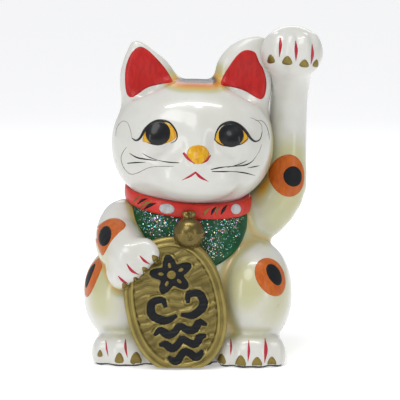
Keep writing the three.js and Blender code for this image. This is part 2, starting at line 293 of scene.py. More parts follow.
def raised_form(at):
    local = at - RAISED
    form = limb(local, RAISED_JOINTS)
    form = blend(form, ball(local, (7.3, -6.5, 60), (22.4, 19, 19.6)), 6)
    for degrees in RAISED_TOES:
        side, front = math.sin(math.radians(degrees)), math.cos(math.radians(degrees))
        form = blend(form, ball(local, (8 + 15 * side, -6.5 - 13.5 * front, 62), (6.4, 7.8, 12.5)), 2.2)
    return form


def lowered_form(at):
    local = at - LOWERED
    form = limb(local, LOWERED_JOINTS)
    across, forward = unit(0.75, 0, 0.66), unit(0.52, -0.5, -0.69)
    for step in TOE_STEPS:
        toe = np.array(LOWERED_JOINTS[-1][:3]) + 9.4 * step * across + (10.5 - 0.8 * abs(step)) * forward
        form = blend(form, ball(local, toe, (6.3, 6.3, 6.3)), 3.6)
        knuckle = toe - 7 * forward - (0, 0.8, 0)
        form = blend(form, ball(local, knuckle, (6, 6, 6)), 7)
    return form


# ---- The tablet -----------------------------------------------------------------------------------------------

LEAN, TILT = 0.1, 0.2
TABLET_RADII = (35.5, 48.6)
TABLET_FULLNESS = 2.3
TABLET_HALF = 7.0
RIM_WIDTH = 6.5


def turned(x, y, z):
    """A direction in the tablet's own axes, across, up and out of its face, as a direction in the frame."""
    x, z = x * math.cos(TILT) - z * math.sin(TILT), x * math.sin(TILT) + z * math.cos(TILT)
    return np.array([x, y * math.cos(LEAN) + z * math.sin(LEAN), z * math.cos(LEAN) - y * math.sin(LEAN)])


ACROSS, OUT, ALONG = turned(1, 0, 0), turned(0, -1, 0), turned(0, 0, 1)


def ornament_shapes():
    """Outlines of the raised ornament, in millimetres across and along the tablet: blossom, scrolls and waves."""
    shapes = []
    angles = np.linspace(0, 2 * math.pi, 60, endpoint=False)
    reach = 14.5 * (0.78 + 0.22 * np.cos(5 * angles))
    shapes.append(np.stack([1.5 + 1.1 * reach * np.sin(angles), 21.5 + reach * np.cos(angles)], 1))
    for side in (-1, 1):
        scroll = [(1.5, -8.5), (10, -10.5), (18.5, -5), (17, 3.5), (9.5, 4.2), (8, -1.5)]
        shapes.append(stroke([(side * x + 1, y + 1) for x, y in scroll], [2.5, 5.6, 6.2, 5.6, 4.6, 2.5], 24))
    for row, width in ((-18, 19), (-27.5, 17), (-36.5, 12.5)):
        crests = [(t * width, row + 2.6 * math.cos(t * width * 0.42)) for t in np.linspace(-1, 1, 9)]
        shapes.append(stroke(crests, [2, 5.2, 5.8, 5.2, 5.2, 5.2, 5.8, 5.2, 2], 30))
    return shapes


def inside(points, outline):
    """How far inside a closed outline each point lies; negative outside."""
    best = np.full(points.shape[:-1], 1e9)
    odd = np.zeros(points.shape[:-1], bool)
    for a, b in zip(outline, np.roll(outline, -1, axis=0)):
        edge = b - a
        t = np.clip(((points - a) @ edge) / max(edge @ edge, 1e-9), 0, 1)
        best = np.minimum(best, np.hypot(*np.moveaxis(points - a - t[..., None] * edge, -1, 0)))
        crosses = (a[1] > points[..., 1]) != (b[1] > points[..., 1])
        rise = edge[1] if edge[1] else 1e-9
        odd ^= crosses & (points[..., 0] < a[0] + edge[0] * (points[..., 1] - a[1]) / rise)
    return np.where(odd, best, -best)


def tablet_axes(at):
    local = at - TABLET
    return local @ ACROSS, local @ ALONG, local @ OUT


def edge_distance(x, z, radii, fullness=2.0):
    """Distance in from an oval's edge; negative outside."""
    across, up = np.abs(x / radii[0]), np.abs(z / radii[1])
    reach = (across**fullness + up**fullness) ** (1 / fullness)
    slope = np.sqrt((across / radii[0]) ** 2 + (up / radii[1]) ** 2)
    return reach * (1 - reach) / np.maximum(slope, 1e-6)


def tablet_inset(x, z):
    return edge_distance(x, z, TABLET_RADII, TABLET_FULLNESS)


def ripples(x, z):
    """The hammered lines across the tablet's field, from -1 to 1."""
    wobble = 1.3 * np.sin(0.13 * x + 0.05 * z) + 0.7 * np.sin(0.31 * x - 0.17 * z)
    return np.sin(2 * math.pi * (z + wobble) / 5.6) * (0.65 + 0.35 * np.sin(0.11 * x + 0.23 * z))


def tablet_relief(x, z):
    """Height of the tablet's face above its flat blank."""
    inset = tablet_inset(x, z)
    field = ramp(inset, RIM_WIDTH - 0.5, RIM_WIDTH + 1.5)
    rim = 0.9 * ramp(inset, 0.5, 1.8) - 0.9 * ramp(inset, 2.4, 3.4) + 1.1 * ramp(inset, 4.2, 5.2)
    relief = rim - 2.1 * field + 0.62 * field * ripples(x, z)
    flat = np.stack([x, z], -1)
    for outline in ornament_shapes():
        depth = inside(flat, outline)
        relief = relief + 0.95 * ramp(depth, -2.2, -0.9) * (1 - 0.25 * ramp(depth, -0.6, 0.3))
    return relief


# ---- Skins ----------------------------------------------------------------------------------------------------


def steepness(form, points):
    """The slope of a form at some points."""
    nudge = 0.15
    slopes = [form(points + nudge * axis) - form(points - nudge * axis) for axis in np.eye(3)]
    return np.stack(slopes, -1) / (2 * nudge)


def skin(form, low, high, step):
    """Points and quads over the surface of a form, settled onto it."""
    counts = np.ceil((high - low) / step).astype(int) + 1
    axes = [low[i] + step * np.arange(counts[i]) for i in range(3)]
    layers = []
    for x in np.array_split(axes[0], max(1, counts[0] // 24)):
        grid = np.stack(np.meshgrid(x, axes[1], axes[2], indexing="ij"), -1)
        layers.append(form(grid).astype(np.float32))
    field = openvdb.FloatGrid()
    field.copyFromArray(np.concatenate(layers))
    points, quads = field.convertToQuads(0.0)
    points = points.astype(float) * step + low
    for _ in range(3):
        slope = steepness(form, points)
        move = form(points) / np.maximum((slope**2).sum(-1), 0.1)
        points -= np.clip(move, -0.5 * step, 0.5 * step)[:, None] * slope
    return points, quads


def new_object(name, points, faces, slot=None, node=None):
    """A smooth mesh object that rides on the figurine; points are in millimetres."""
    mesh = bpy.data.meshes.new(name)
    mesh.from_pydata((np.asarray(points) * MM).tolist(), [], [list(face) for face in faces])
    mesh.validate()
    mesh.shade_smooth()
    piece = bpy.data.objects.new(name, mesh)
    bpy.context.scene.collection.objects.link(piece)
    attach(piece, "root")
    if node:
        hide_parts(node)
    return piece


def tint(piece, name, values):
    """Stores one number for each point, for the glaze to read."""
    piece.data.attributes.new(name, "FLOAT", "POINT").data.foreach_set("value", np.asarray(values, np.float32))


def points_of(piece):
    flat = np.empty(3 * len(piece.data.vertices), np.float32)
    piece.data.vertices.foreach_get("co", flat)
    return flat.reshape(-1, 3).astype(float) / MM


# ---- Brushwork ------------------------------------------------------------------------------------------------


def stroke(points, widths, count=18):
    """The outline of a brush stroke along a smooth curve, as wide as the widths say."""
    line = smooth(points, count)
    half = np.maximum(smooth(widths, count), 0.12) / 2
    run = np.gradient(line, axis=0)
    side = np.stack([-run[:, 1], run[:, 0]], 1) / np.linalg.norm(run, axis=1)[:, None]
    return np.concatenate([line + side * half[:, None], (line - side * half[:, None])[::-1]])


def oval(x, y, rx, ry, turn=0.0, count=40):
    """An oval outline, turned anticlockwise by some degrees."""
    angles = np.linspace(0, 2 * math.pi, count, endpoint=False)
    c, s = math.cos(math.radians(turn)), math.sin(math.radians(turn))
    a, b = rx * np.cos(angles), ry * np.sin(angles)
    return np.stack([x + a * c - b * s, y + a * s + b * c], 1)


def claw(x, y, width, height, turn=0.0):
    """A claw's outline: a rounded triangle with its point up."""
    c, s = math.cos(math.radians(turn)), math.sin(math.radians(turn))
    w, h = width / 2, height / 2
    corners = [(0, h), (0.62 * w, 0.45 * h), (w, -0.55 * h), (0.55 * w, -h), (-0.55 * w, -h), (-w, -0.55 * h),
               (-0.62 * w, 0.45 * h)]
    return ring([(x + a * c - b * s, y + a * s + b * c) for a, b in corners], 26)


class Easel:
    """A plane that marks are drawn on, and the way that they are thrown onto a piece."""

    def __init__(self, origin, right, up, eye=None):
        self.origin = origin
        self.right = right
        self.up = up
        self.eye = eye

    def ray(self, point):
        at = self.origin + point[0] * self.right + point[1] * self.up
        if self.eye is None:
            way = np.cross(self.up, self.right)
            return at - 60 * way, way
        return self.eye, (at - self.eye) / np.linalg.norm(at - self.eye)


def front_easel(anchor):
    """The painter's plane, with its origin where the anchor shows on it."""
    sight = anchor - EYE
    sight = sight * DISTANCE / (sight @ FORWARD)
    return Easel(EYE + sight, RIGHT, UPWARD, EYE)


def surface_of(*pieces):
    """The pieces' surface, ready for marks to be thrown onto."""
    points, faces = [], []
    for piece in pieces:
        base = len(points)
        points += points_of(piece).tolist()
        faces += [[base + i for i in face.vertices] for face in piece.data.polygons]
    return BVHTree.FromPolygons(points, faces)


def tangent_easel(surface, easel, point):
    """An easel that lies flat on the surface where a point of another easel falls."""
    start, way = easel.ray(point)
    hit, normal, _, _ = surface.ray_cast(Vector(start), Vector(way))
    if hit is None:
        raise RuntimeError(f"no surface under the mark at {point}")
    normal = np.array(normal)
    up = UP - (UP @ normal) * normal
    up /= np.linalg.norm(up)
    return Easel(np.array(hit), np.cross(up, normal), up)


def spread(outline, gap):
    """Triangles that fill an outline, with points inside it about gap millimetres apart."""
    low, high = outline.min(0), outline.max(0)
    x, y = np.meshgrid(np.arange(low[0], high[0], gap), np.arange(low[1], high[1], gap))
    grid = np.stack([x.ravel(), y.ravel()], 1)
    within = grid[inside(grid, outline) > 0.45 * gap]
    corners = [Vector(p) for p in np.concatenate([outline, within])]
    points, _, faces, _, _, _ = geometry.delaunay_2d_cdt(corners, [], [list(range(len(outline)))], 1, 1e-4)
    return np.array([tuple(p) for p in points]), [tuple(face) for face in faces]


def coat_of_paint(surface, easel, outline, gap, lift):
    """A closed, very thin shell of enamel on the surface, inside an outline drawn on an easel."""
    points, faces = spread(np.asarray(outline, float), gap)
    hits, normals = [], []
    for point in points:
        start, way = easel.ray(point)
        hit, normal, _, _ = surface.ray_cast(Vector(start), Vector(way))
        hits.append(None if hit is None else np.array(hit))
        normals.append(None if hit is None else np.array(normal))
    kept = []
    for face in faces:
        corners = [hits[i] for i in face]
        if any(c is None for c in corners):
            continue
        reach = max(np.linalg.norm(corners[i] - corners[i - 1]) for i in range(3))
        if reach < TORN * gap:
            kept.append(face)
    if not kept:
        return [], []
    used = sorted({i for face in kept for i in face})
    index = {old: new for new, old in enumerate(used)}
    kept = [tuple(index[i] for i in face) for face in kept]
    sides = [(face[i], face[(i + 1) % 3]) for face in kept for i in range(3)]
    known = set(sides)
    border = [edge for edge in sides if edge[::-1] not in known]
    rim = {i for edge in border for i in edge}
    hits = [hits[i] for i in used]
    normals = [normals[i] for i in used]
    top = [p + n * (lift * (0.45 if i in rim else 1.0)) for i, (p, n) in enumerate(zip(hits, normals))]
    bottom = [p - n * PAINT_DEPTH for p, n in zip(hits, normals)]
    count = len(used)
    a, b, c = (top[i] for i in kept[0])
    facing = np.cross(b - a, c - a) @ normals[kept[0][0]] > 0
    shell = [face if facing else face[::-1] for face in kept]
    shell += [tuple(count + i for i in face[::-1]) for face in shell]
    for i, j in border:
        i, j = (i, j) if facing else (j, i)
        shell.append((j, i, count + i, count + j))
    return top + bottom, shell


def painted(name, surface, marks, material, slot, gap=1.0, lift=0.12):
    """One object for all the marks of one colour; each mark is an easel and an outline."""
    points, faces = [], []
    for easel, outline in marks:
        more, shell = coat_of_paint(surface, easel, outline, gap, lift)
        faces += [tuple(len(points) + i for i in face) for face in shell]
        points += more
    piece = new_object(name, points, faces, slot)
    piece.data.materials.append(material)
    return piece


# ---- Materials ------------------------------------------------------------------------------------------------


class Wire:
    """A socket of a material that Python's arithmetic works on."""

    def __init__(self, shade, socket):
        self.shade = shade
        self.socket = socket

    def maths(self, operation, *others):
        values = dict(enumerate((self, *others)))
        return self.shade.node("ShaderNodeMath", {"operation": operation}, values)

    def __add__(self, other):
        return self.maths("ADD", other)

    def __mul__(self, other):
        return self.maths("MULTIPLY", other)

    def __sub__(self, other):
        return self.maths("SUBTRACT", other)

    def __rsub__(self, other):
        return self.shade.node("ShaderNodeMath", {"operation": "SUBTRACT"}, {0: other, 1: self})

    __radd__ = __add__
    __rmul__ = __mul__

    def between(self, low, high):
        """0 at low, 1 at high, smooth between."""
        settings = {"interpolation_type": "SMOOTHSTEP"}
        return self.shade.node("ShaderNodeMapRange", settings, {"Value": self, "From Min": low, "From Max": high})


class Shade:
    """A new material with one surface shader, and the nodes that feed it."""

    def __init__(self, name, **constants):
        self.material = bpy.data.materials.new(name)
        self.material.use_nodes = True
        self.tree = self.material.node_tree
        self.surface = self.tree.nodes["Principled BSDF"]
        for socket, value in constants.items():
            self.surface.inputs[socket.replace("_", " ")].default_value = value

    def node(self, kind, settings=None, inputs=None, output=0):
        """Makes any node: its settings first, then the values and links of its sockets."""
        node = self.tree.nodes.new(kind)
        for name, value in (settings or {}).items():
            if name == "stops":
                while len(node.color_ramp.elements) < len(value):
                    node.color_ramp.elements.new(0.5)
                for element, (place, colour) in zip(node.color_ramp.elements, value):
                    element.position = place
                    element.color = (*colour, 1)
            else:
                setattr(node, name, value)
        for name, value in (inputs or {}).items():
            if isinstance(value, Wire):
                self.tree.links.new(value.socket, node.inputs[name])
            else:
                node.inputs[name].default_value = value
        return Wire(self, node.outputs[output])

    def feed(self, socket, wire):
        self.tree.links.new(wire.socket, self.surface.inputs[socket])

    def place(self):
        return self.node("ShaderNodeTexCoord", output="Object")

    def noise(self, scale, detail=3.0, distortion=0.0, vector=None):
        inputs = {"Vector": vector or self.place(), "Scale": scale, "Detail": detail, "Distortion": distortion}
        return self.node("ShaderNodeTexNoise", None, inputs)

    def stretched(self, x, y, z):
        return self.node("ShaderNodeMapping", None, {"Vector": self.place(), "Scale": (x, y, z)})

    def attribute(self, name):
        return self.node("ShaderNodeAttribute", {"attribute_name": name}, output="Fac")

    def mix(self, amount, a, b, blend_type="MIX"):
        """A mix of two colours."""
        node = self.tree.nodes.new("ShaderNodeMix")
        node.data_type = "RGBA"
        node.blend_type = blend_type
        for index, value in ((0, amount), (6, a), (7, b)):
            if isinstance(value, Wire):
                self.tree.links.new(value.socket, node.inputs[index])
            elif index == 0:
                node.inputs[index].default_value = value
            else:
                node.inputs[index].default_value = (*value, 1)
        return Wire(self, node.outputs[2])

    def bump(self, height, strength, distance):
        inputs = {"Height": height, "Strength": strength, "Distance": distance}
        self.feed("Normal", self.node("ShaderNodeBump", None, inputs))


PEARL = (0.61, 0.605, 0.57)
PEARL_SHADE = (0.565, 0.56, 0.51)
OLIVE = (0.46, 0.45, 0.25)
YELLOW = (0.56, 0.32, 0.05)
ORANGE = (0.48, 0.12, 0.011)
SOOT = (0.030, 0.034, 0.042)


def glaze(name):
    """Pearl white glaze, with the airbrushed colour that the castings carry in their points."""
    shade = Shade(name, Coat_Roughness=0.06, IOR=1.5)
    cloud = shade.noise(38.0, 4.0)
    pearl = shade.mix(cloud.between(0.35, 0.7), PEARL, PEARL_SHADE)
    spray = shade.attribute("spray") + (shade.noise(160.0, 5.0) - 0.5) * 0.06
    colour = shade.mix(spray.between(0.02, 0.34), pearl, OLIVE)
    colour = shade.mix(spray.between(0.3, 0.68), colour, YELLOW)
    colour = shade.mix(spray.between(0.6, 1.0), colour, ORANGE)
    colour = shade.mix(shade.attribute("soot").between(0.1, 0.8), colour, SOOT)
    specks = shade.noise(420.0, 2.0).between(0.76, 0.8) * 0.25
    shade.feed("Base Color", shade.mix(specks, colour, (0.35, 0.3, 0.22)))
    shade.feed("Coat Weight", 0.55 - shade.attribute("spray").between(0.4, 0.9) * 0.5)
    shade.feed("Roughness", 0.24 + shade.noise(70.0, 4.0) * 0.12)
    shade.bump(shade.noise(90.0, 3.0) + shade.noise(700.0, 2.0) * 0.08, 0.08, 0.0010)
    return shade.material


def enamel(name, colour, deep, roughness=0.22, coat=0.6):
    """Brushed-on enamel: streaks of a thinner and a deeper coat."""
    shade = Shade(name, Coat_Weight=coat, Coat_Roughness=0.08, Specular_IOR_Level=0.25)
    streaks = shade.noise(260.0, 4.0, 1.2, shade.stretched(1.0, 1.0, 0.35))
    shade.feed("Base Color", shade.mix(streaks.between(0.35, 0.7), colour, deep))
    shade.feed("Roughness", roughness + shade.noise(180.0, 3.0) * 0.12)
    shade.bump(streaks, 0.2, 0.0004)
    return shade.material


def gilt(name, bright, dark, roughness=0.36, recess=False):
    """Antique gold paint, browned where it lies low."""
    shade = Shade(name, Metallic=0.8, Coat_Weight=0.1, Coat_Roughness=0.3)
    patches = shade.noise(90.0, 5.0)
    amount = patches.between(0.35, 0.75) * 0.7
    if recess:
        amount = (amount * 0.6 + shade.attribute("recess") * 0.8).maths("MINIMUM", 1.0)
    grain = shade.noise(1500.0, 2.0)
    shade.feed("Base Color", shade.mix(amount, bright, dark))
    shade.feed("Roughness", roughness + patches * 0.12 + grain * 0.08)
    shade.bump(patches + grain * 0.3, 0.25, 0.0006)
    return shade.material


def lacquer():
    """Green lacquer that the glitter lies in."""
    shade = Shade("green_lacquer", Coat_Weight=0.12, Coat_Roughness=0.1, Specular_IOR_Level=0.2)
    cloud = shade.noise(140.0, 5.0)
    shade.feed("Base Color", shade.mix(cloud.between(0.3, 0.75), (0.002, 0.085, 0.024), (0.001, 0.04, 0.014)))
    shade.feed("Roughness", 0.3 + cloud * 0.2)
    shade.bump(shade.noise(900.0, 3.0), 0.5, 0.0006)
    return shade.material


def foil():
    """Glitter foil, each flake in its own colour."""
    shade = Shade("glitter_foil", Metallic=1.0, Roughness=0.18)
    chance = shade.attribute("chance")
    stops = [
        (0.0, (0.75, 0.78, 0.82)),
        (0.3, (0.10, 0.55, 0.32)),
        (0.5, (0.25, 0.62, 0.95)),
        (0.65, (0.95, 0.35, 0.42)),
        (0.78, (0.95, 0.75, 0.25)),
        (0.9, (0.70, 0.45, 0.95)),
    ]
    inputs = {"Fac": chance}
    shade.feed("Base Color", shade.node("ShaderNodeValToRGB", {"stops": stops}, inputs))
    return shade.material


def felt_material():
    """Dark pressed felt."""
    shade = Shade("pressed_felt", Sheen_Weight=0.3)
    fibres = shade.noise(1800.0, 4.0, 2.0)
    shade.feed("Base Color", shade.mix(fibres, (0.012, 0.016, 0.022), (0.035, 0.042, 0.05)))
    shade.feed("Roughness", 0.85 + fibres * 0.15)
    shade.bump(fibres, 0.7, 0.0006)
    return shade.material


# ---- Sizes and colours that a user would change ---------------------------------------------------------------


def colour_property(name, description, default):
    return bpy.props.FloatVectorProperty(
        name=name, description=description, default=default, size=3, subtype="COLOR", min=0.0, max=1.0
    )


class FinishSettings(bpy.types.PropertyGroup):
    """How finely the figurine is cast, and the colours that it is painted in."""

    step: bpy.props.FloatProperty(
        name="Casting step", description="Spacing of the points on a casting, in millimetres", default=1.15,
        min=0.5, max=4.0,
    )
    paint: bpy.props.FloatProperty(
        name="Paint thickness", description="How far enamel stands off the glaze, in millimetres", default=0.12,
        min=0.05, max=0.5,
    )
    red: colour_property("Red enamel", "Ears and collar", (0.46, 0.013, 0.011))
    orange: colour_property("Orange enamel", "Spots", (0.48, 0.11, 0.011))
    black: colour_property("Black enamel", "Eyes, lashes and whiskers", (0.002, 0.002, 0.003))
    yellow: colour_property("Yellow enamel", "Irises and nose", (0.64, 0.36, 0.007))
    crimson: colour_property("Crimson enamel", "Mouth and toe lines", (0.42, 0.012, 0.035))
    gold: colour_property("Gold paint", "Bell and claws", (0.24, 0.18, 0.045))


class GlitterSettings(bpy.types.PropertyGroup):
    """The glitter that is shaken onto the wet lacquer of the bib."""

    size: bpy.props.FloatProperty(
        name="Flake size", description="Radius of a glitter flake", default=0.00038, unit="LENGTH", precision=5
    )
    density: bpy.props.FloatProperty(
        name="Density", description="Flakes for each square metre of bib", default=760000.0, min=0.0
    )
    seed: bpy.props.IntProperty(name="Seed", description="Which scatter of flakes is made", default=7)


def made(name):
    """A material that an earlier step has made."""
    return bpy.data.materials[name]


def casting(name, form, node, slot, spare=3.0):
    """One glazed casting, skinned from its form and cut flat where it meets the felt."""
    finish = bpy.context.scene.figurine_finish
    low, high = room(node, spare)
    low[2] = max(low[2], FOOT - 2 * finish.step)
    points, faces = skin(lambda at: trim(form(at), FOOT - at[..., 2], 0.5), low, high, finish.step)
    piece = new_object(name, points, faces, slot, node)
    piece.data.materials.append(glaze(name + "_glaze"))
    tint(piece, "spray", np.maximum(creases(points), airbrush(points, PUFFS)))
    tint(piece, "soot", airbrush(points, SOOTY))
    return piece


# Sprayed colour: where from, a line of joints with radii, its softness and its strength.
PUFFS = [
    (HEAD, [(-15, 4, 33, 3), (-25, 7, 50, 2)], 4, 0.62),
    (HEAD, [(19, 4, 33, 3), (28, 7, 50, 2)], 4, 0.5),
    (HEAD, [(-2, -8, 36, 16), (8, -8, 36, 16)], 9, 0.95),
    (HEAD, [(58, -6, -2, 4), (52, -12, -24, 4)], 7, 0.6),
    (HEAD, [(-4, 30, 22, 20), (12, 38, 6, 20)], 7, 1.0),
    (RAISED, [(-9, -3, 10, 3), (-12, -3, -30, 6), (-14, -4, -50, 6)], 8, 0.75),
    (RAISED, [(6, 2, -18, 13), (5, 0, -42, 16), (-6, -2, -58, 14)], 16, 0.42),
    (RAISED, [(14, -4, -20, 3), (16, -2, -46, 5)], 9, 0.45),
    (LOWERED, [(6, -8, 24, 3), (12, -16, 14, 3)], 8, 0.75),
    (LOWERED, [(-18, -12, 2, 13), (-14, -20, -8, 11)], 10, 0.33),
    (LOWERED, [(-22, -14, -8, 4), (-14, -26, -22, 4), (-6, -32, -30, 4)], 7, 0.6),
    (BODY, [(54, -15, 31, 2), (54, -23, 22, 2), (40, -44, 11, 2)], 10, 0.6),
    (BODY, [(40, -56, 0, 17), (34, -54, 14, 13)], 14, 0.33),
    (BODY, [(62, -42, -2, 18), (58, -44, -14, 16)], 15, 0.3),
    (BODY, [(-64, -42, 4, 15), (-60, -46, -12, 13)], 14, 0.33),
    (BODY, [(-60, -48, -33, 4), (-36, -52, -34, 4)], 9, 0.3),
    (BODY, [(34, -56, -34, 4), (64, -52, -33, 4)], 9, 0.3),
    (BODY, [(2, 46, 8, 24), (2, 46, 14, 24)], 10, 0.5),
]
SOOTY = [
    (HEAD, [(-1, -2, 37, 10), (7, -2, 37, 10)], 4, 1.0),
    (HEAD, [(-1, 34, 22, 12), (10, 40, 8, 12)], 4, 1.0),
]


def airbrush(points, puffs):
    total = np.zeros(len(points))
    for anchor, joints, softness, strength in puffs:
        gap = limb(points - anchor, joints, 6)
        total = np.maximum(total, strength * ramp(-gap, -softness, softness))
    return total


def creases(points):
    """The yellow that the airbrush leaves where two forms of the body meet."""
    torso, haunches, body = torso_form(points), haunch_form(points), body_form(points)
    total = 0.55 * ramp(-np.maximum(torso, haunches), -14, 2)
    for arm_form, width, strength in ((raised_form, 11, 0.56), (lowered_form, 11, 0.62)):
        total = np.maximum(total, strength * ramp(-np.maximum(body, arm_form(points)), -width, 0))
    return total * (1 - ramp(points[:, 2], HEAD[2] - 45, HEAD[2] - 30))


class FIGURINE_OT_enamels(bpy.types.Operator):
    """Mixes the enamels and paints that the marks are made with"""

    bl_idname = "figurine.enamels"
    bl_label = "Enamels"

    def execute(self, context):
        finish = context.scene.figurine_finish
        red = tuple(finish.red)
        enamel("red_enamel", red, (0.36, 0.009, 0.008), 0.34, 0.08)
        enamel("collar_red", (1.3 * red[0], 2.2 * red[1], 1.6 * red[2]), (0.52, 0.022, 0.015), 0.28, 0.15)
        enamel("orange_enamel", tuple(finish.orange), (0.40, 0.075, 0.006), 0.3, 0.12)
        enamel("black_enamel", tuple(finish.black), (0.002, 0.003, 0.004), 0.3, 0.3)
        enamel("spot_black", (0.003, 0.004, 0.006), (0.002, 0.003, 0.004), 0.45, 0.0)
        enamel("yellow_enamel", tuple(finish.yellow), (0.54, 0.22, 0.004), 0.22, 0.4)
        enamel("crimson_enamel", tuple(finish.crimson), (0.36, 0.008, 0.02), 0.3, 0.3)
        enamel("hairline_ink", (0.10, 0.10, 0.10), (0.22, 0.21, 0.20), 0.4, 0.1)
        enamel("pale_enamel", (0.52, 0.52, 0.52), (0.36, 0.36, 0.37), 0.3, 0.4)
        gilt("gilding", tuple(finish.gold), (0.13, 0.09, 0.024))
        gilt("bell_gold", (0.18, 0.133, 0.038), (0.10, 0.072, 0.02), 0.18)
        gilt("tablet_gilding", (0.33, 0.26, 0.077), (0.14, 0.107, 0.029), 0.27, True)
        return {"FINISHED"}


class FIGURINE_OT_body(bpy.types.Operator):
    """Casts the body: torso, haunches, feet and tail"""

    bl_idname = "figurine.body"
    bl_label = "Body casting"

    def execute(self, context):
        def form(at):
            own = body_form(at)
            raised, lowered = raised_form(at), lowered_form(at)
            whole = blend(blend(own, raised, RAISED_FILLET), lowered, LOWERED_FILLET)
            under = own - np.minimum(raised, lowered)
            return trim(whole + 0.05 + 3.0 * ramp(under, 0.0, 6.0), over_collar(at), 1.0)

        casting("body", form, "body_casting", "glazed_body")
        return {"FINISHED"}


class FIGURINE_OT_head(bpy.types.Operator):
    """Casts the head with its ears"""

    bl_idname = "figurine.head"
    bl_label = "Head casting"

    def execute(self, context):
        def form(at):
            return trim(head_form(at), 0.3 - over_collar(at), 0.5)

        casting("head", form, "head_casting", "glazed_head")
        return {"FINISHED"}


def arm(name, node, slot, own, other, fillet):
    """An arm: its share of the fettled figure, sunk a little past the seam."""

    def form(at):
        mine, body = own(at), body_form(at)
        whole = blend(blend(body, mine, fillet), other(at), LOWERED_FILLET)
        return carve(trim(whole - 0.03, mine - body - 1.2, 0.6), head_form(at) + 0.6, 0.3)

    casting(name, form, node, slot)


class FIGURINE_OT_raised_arm(bpy.types.Operator):
    """Casts the raised arm with its paw"""

    bl_idname = "figurine.raised_arm"
    bl_label = "Raised arm"

    def execute(self, context):
        arm("raised_arm_glazed", "raised_arm", "glazed_raised_arm", raised_form, lowered_form, RAISED_FILLET)
        return {"FINISHED"}


class FIGURINE_OT_lowered_arm(bpy.types.Operator):
    """Casts the lowered arm, whose paw holds the tablet"""

    bl_idname = "figurine.lowered_arm"
    bl_label = "Lowered arm"

    def execute(self, context):
        arm("lowered_arm_glazed", "lowered_arm", "glazed_lowered_arm", lowered_form, raised_form, LOWERED_FILLET)
        return {"FINISHED"}


def band_form(at):
    """The collar: a flattened ring in its tilted plane."""
    local = at - COLLAR
    height = over_collar(at) - 1.3
    wall = (np.hypot(local[..., 0] / 45.6, local[..., 1] / 40.2) - 1) * 43
    outer = wall - 0.9 * (1 - (height / 6.0) ** 2)
    return trim(trim(outer, np.abs(height) - 5.4, 1.4), -wall - 6.0, 0.5)


FRONT_DOTS = [(-15.8, -6.2, 5.7, 3.7, -8), (34.6, -6.4, 3.6, 3.7)]
GOLD_DASHES = [
    ([(-40, -1), (-37.5, 1.8), (-34.8, 3.4)], 1.4),
    ([(-35.3, -5.3), (-31, -2.2), (-26.4, -0.2)], 1.9),
    ([(11.3, -10.8), (12.6, -8.2), (15.3, -5.6)], 2),
    ([(19.7, -10.4), (20.8, -7.2), (23, -4.2)], 1.7),
]
BLACK_DASHES = [
    ([(-37.3, -2.8), (-33.6, 0), (-29.8, 1.3)], 1.9),
    ([(-32.6, -6.6), (-28.2, -3.6), (-23.8, -2.2)], 2.5),
    ([(16.6, -10.6), (18, -7.4), (20.4, -4.6)], 2.1),
    ([(23.7, -10.3), (25.6, -6.8), (28.3, -3.2)], 2.3),
]


class FIGURINE_OT_collar(bpy.types.Operator):
    """Makes the collar with its dots and dashes"""

    bl_idname = "figurine.collar"
    bl_label = "Collar"

    def execute(self, context):
        finish = context.scene.figurine_finish
        low, high = room("collar_band", 3)
        points, faces = skin(band_form, low, high, 0.9)
        piece = new_object("collar", points, faces, "collar_enamel", "collar_band")
        piece.data.materials.append(made("collar_red"))
        surface = surface_of(piece)
        front = front_easel(COLLAR)
        back = Easel(COLLAR, -RIGHT, UP)
        pale = [(front, oval(*dot)) for dot in FRONT_DOTS]
        gold, black = ([(front, stroke(line, [0.6, width, tail], 12)) for line, width in dashes]
                       for tail, dashes in ((0.5, GOLD_DASHES), (0.4, BLACK_DASHES)))
        for x in (-28, 0, 28):
            level = 8.6 + 0.09 * x
            pale.append((back, oval(x, level, 4.2, 3.4)))
            for shift, marks in ((-17, gold), (-14, black), (-11, gold), (-8, black)):
                line = [(x + shift - 1.5, level - 3.4), (x + shift + 1.5, level + 2.4)]
                marks.append((back, stroke(line, [1.6, 0.8], 8)))
        painted("collar_dots", surface, pale, made("pale_enamel"), "collar_enamel", 0.8, 3 * finish.paint)
        painted("collar_gold", surface, gold, made("gilding"), "collar_enamel", 0.7, 1.4 * finish.paint)
        painted("collar_black", surface, black, made("spot_black"), "collar_enamel", 0.7, 1.4 * finish.paint)
        return {"FINISHED"}


BIB_RADII = (43.2, 34.4)


def bib_form(at):
    """The bib: a skin over the chest, trimmed to an oval and rolled at its edge."""
    chest = blend(body_form(at), raised_form(at) + 1.5, 4)
    outline = -edge_distance(at[..., 0] - BIB[0], at[..., 2] - BIB[2], BIB_RADII)
    sheet = trim(trim(chest - 2.1, outline, 2.2), -chest - 0.6, 0.3)
    return trim(trim(sheet, over_collar(at) + 4.0, 0.5), at[..., 1] + 8, 0.3)


